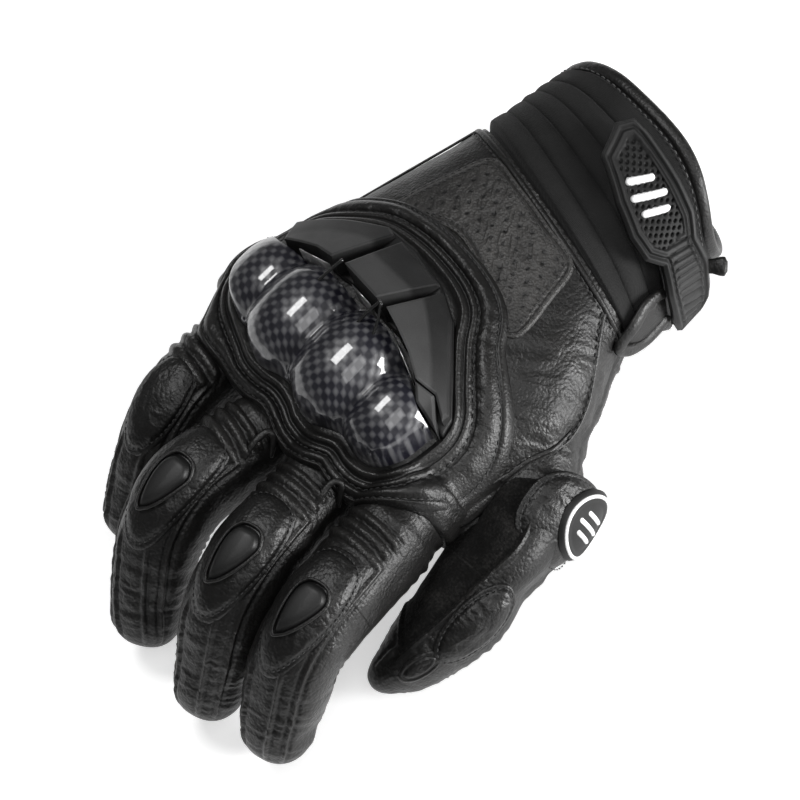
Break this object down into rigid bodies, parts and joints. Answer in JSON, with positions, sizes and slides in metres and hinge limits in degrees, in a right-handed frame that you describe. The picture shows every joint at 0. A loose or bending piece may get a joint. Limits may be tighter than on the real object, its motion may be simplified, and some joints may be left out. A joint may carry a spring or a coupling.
{
  "type": "riding glove",
  "caption": "Right-hand short-cuff riding glove with hard knuckle armour, perforated back panel, flexing finger and thumb stalls and a peel-off wrist strap.",
  "frame": {"origin": "on the flat underside of the palm heel patch, the face the glove lies on", "axes": "+Y to the fingertips, +X to the little finger side, +Z out of the back of the hand"},
  "size_m": [0.1539, 0.2308, 0.078],
  "materials": {
    "leather": "black cowhide, satin, fine grain",
    "soft_leather": "black soft leather, satin",
    "suede": "dark grey suede, matt",
    "knit": "charcoal stretch knit, matt",
    "carbon": "clear-coated carbon weave",
    "hard": "charcoal, satin",
    "rubber": "moulded rubber, matt",
    "mesh": "fine silver mesh",
    "hook": "hook and loop, matt",
    "pale_mark": "raised off-white mark"
  },
  "bodies": {
    "hand": {"back_panel": "leather", "palm_panel": "soft_leather", "palm_patch": "suede", "palm_grip_patch": "suede", "perforated_panel": "leather", "knuckle_foam": "soft_leather", "knuckle_collar": "leather", "knuckle_shell": "carbon", "scoop_cover": "hard", "scoop_vent_1": "mesh", "scoop_vent_2": "mesh", "scoop_vent_3": "mesh", "index_flex_panel": "soft_leather", "middle_flex_panel": "soft_leather", "ring_flex_panel": "soft_leather", "pinky_flex_panel": "soft_leather", "thumb_flex_panel": "soft_leather", "thumb_knuckle_cup": "leather", "thumb_knuckle_disc": "rubber", "thumb_disc_ring": "pale_mark", "wrist_stretch_panel": "knit", "strap_keeper": "leather"},
    "index_base": {"index_base_stall": "leather", "index_joint_panel": "soft_leather", "index_knuckle_pad": "leather", "index_slider": "hard"},
    "index_tip": {"index_tip_stall": "leather"},
    "middle_base": {"middle_base_stall": "leather", "middle_joint_panel": "soft_leather", "middle_knuckle_pad": "leather", "middle_slider": "hard"},
    "middle_tip": {"middle_tip_stall": "leather"},
    "ring_base": {"ring_base_stall": "leather", "ring_joint_panel": "soft_leather", "ring_knuckle_pad": "leather", "ring_slider": "hard"},
    "ring_tip": {"ring_tip_stall": "leather"},
    "pinky_base": {"pinky_base_stall": "leather", "pinky_joint_panel": "soft_leather", "pinky_knuckle_pad": "leather"},
    "pinky_tip": {"pinky_tip_stall": "leather"},
    "thumb_base": {"thumb_base_stall": "leather", "thumb_joint_panel": "soft_leather", "thumb_joint_pad": "leather"},
    "thumb_tip": {"thumb_tip_stall": "leather", "thumb_tip_patch": "leather"},
    "cuff": {"cuff_sleeve": "knit", "cuff_lining": "suede", "cuff_binding": "leather", "loop_field": "hook", "strap_tag": "leather"},
    "strap": {"hook_patch": "hook", "wrist_strap": "leather", "closure_tab": "rubber", "tab_emblem": "pale_mark"}
  },
  "joints": [
    {"name": "index_knuckle", "type": "hinge", "parent": "hand", "child": "index_base", "pos_m": [-0.041, 0.101, 0.037], "axis": [-0.995, -0.1, 0], "range_deg": [-15, 18], "deforming": ["index_flex_panel"]},
    {"name": "index_bend", "type": "hinge", "parent": "index_base", "child": "index_tip", "pos_m": [-0.046, 0.146, 0.036], "axis": [-0.9918, -0.128, 0], "range_deg": [-10, 45], "deforming": ["index_joint_panel"]},
    {"name": "middle_knuckle", "type": "hinge", "parent": "hand", "child": "middle_base", "pos_m": [-0.0135, 0.106, 0.038], "axis": [-0.9963, -0.086, 0], "range_deg": [-15, 50], "deforming": ["middle_flex_panel"]},
    {"name": "middle_bend", "type": "hinge", "parent": "middle_base", "child": "middle_tip", "pos_m": [-0.019, 0.1475, 0.038], "axis": [-0.9881, -0.154, 0], "range_deg": [-10, 45], "deforming": ["middle_joint_panel"]},
    {"name": "ring_knuckle", "type": "hinge", "parent": "hand", "child": "ring_base", "pos_m": [0.0145, 0.104, 0.037], "axis": [-0.9959, 0.09, 0], "range_deg": [-15, 50], "deforming": ["ring_flex_panel"]},
    {"name": "ring_bend", "type": "hinge", "parent": "ring_base", "child": "ring_tip", "pos_m": [0.0158, 0.145, 0.0365], "axis": [-0.9901, -0.14, 0], "range_deg": [-10, 45], "deforming": ["ring_joint_panel"]},
    {"name": "pinky_knuckle", "type": "hinge", "parent": "hand", "child": "pinky_base", "pos_m": [0.044, 0.091, 0.034], "axis": [-0.9968, 0.08, 0], "range_deg": [-15, 50], "deforming": ["pinky_flex_panel"]},
    {"name": "pinky_bend", "type": "hinge", "parent": "pinky_base", "child": "pinky_tip", "pos_m": [0.043, 0.124, 0.0315], "axis": [-0.9922, -0.125, 0], "range_deg": [-10, 45], "deforming": ["pinky_joint_panel"]},
    {"name": "thumb_swing", "type": "hinge", "parent": "hand", "child": "thumb_base", "pos_m": [-0.073, 0.075, 0.0215], "axis": [0, 0, 1], "range_deg": [0, 30], "deforming": ["thumb_flex_panel"]},
    {"name": "thumb_bend", "type": "hinge", "parent": "thumb_base", "child": "thumb_tip", "pos_m": [-0.0715, 0.103, 0.016], "axis": [0, 0, -1], "range_deg": [-15, 10], "deforming": ["thumb_joint_panel"]},
    {"name": "wrist_flex", "type": "hinge", "parent": "hand", "child": "cuff", "pos_m": [-0.003, -0.012, 0.028], "axis": [0.9579, -0.287, 0], "range_deg": [-20, 25], "deforming": ["wrist_stretch_panel"]},
    {"name": "strap_peel", "type": "hinge", "parent": "cuff", "child": "strap", "pos_m": [-0.045, -0.025, 0.014], "axis": [0, -1, 0], "range_deg": [0, 110]}
  ]
}
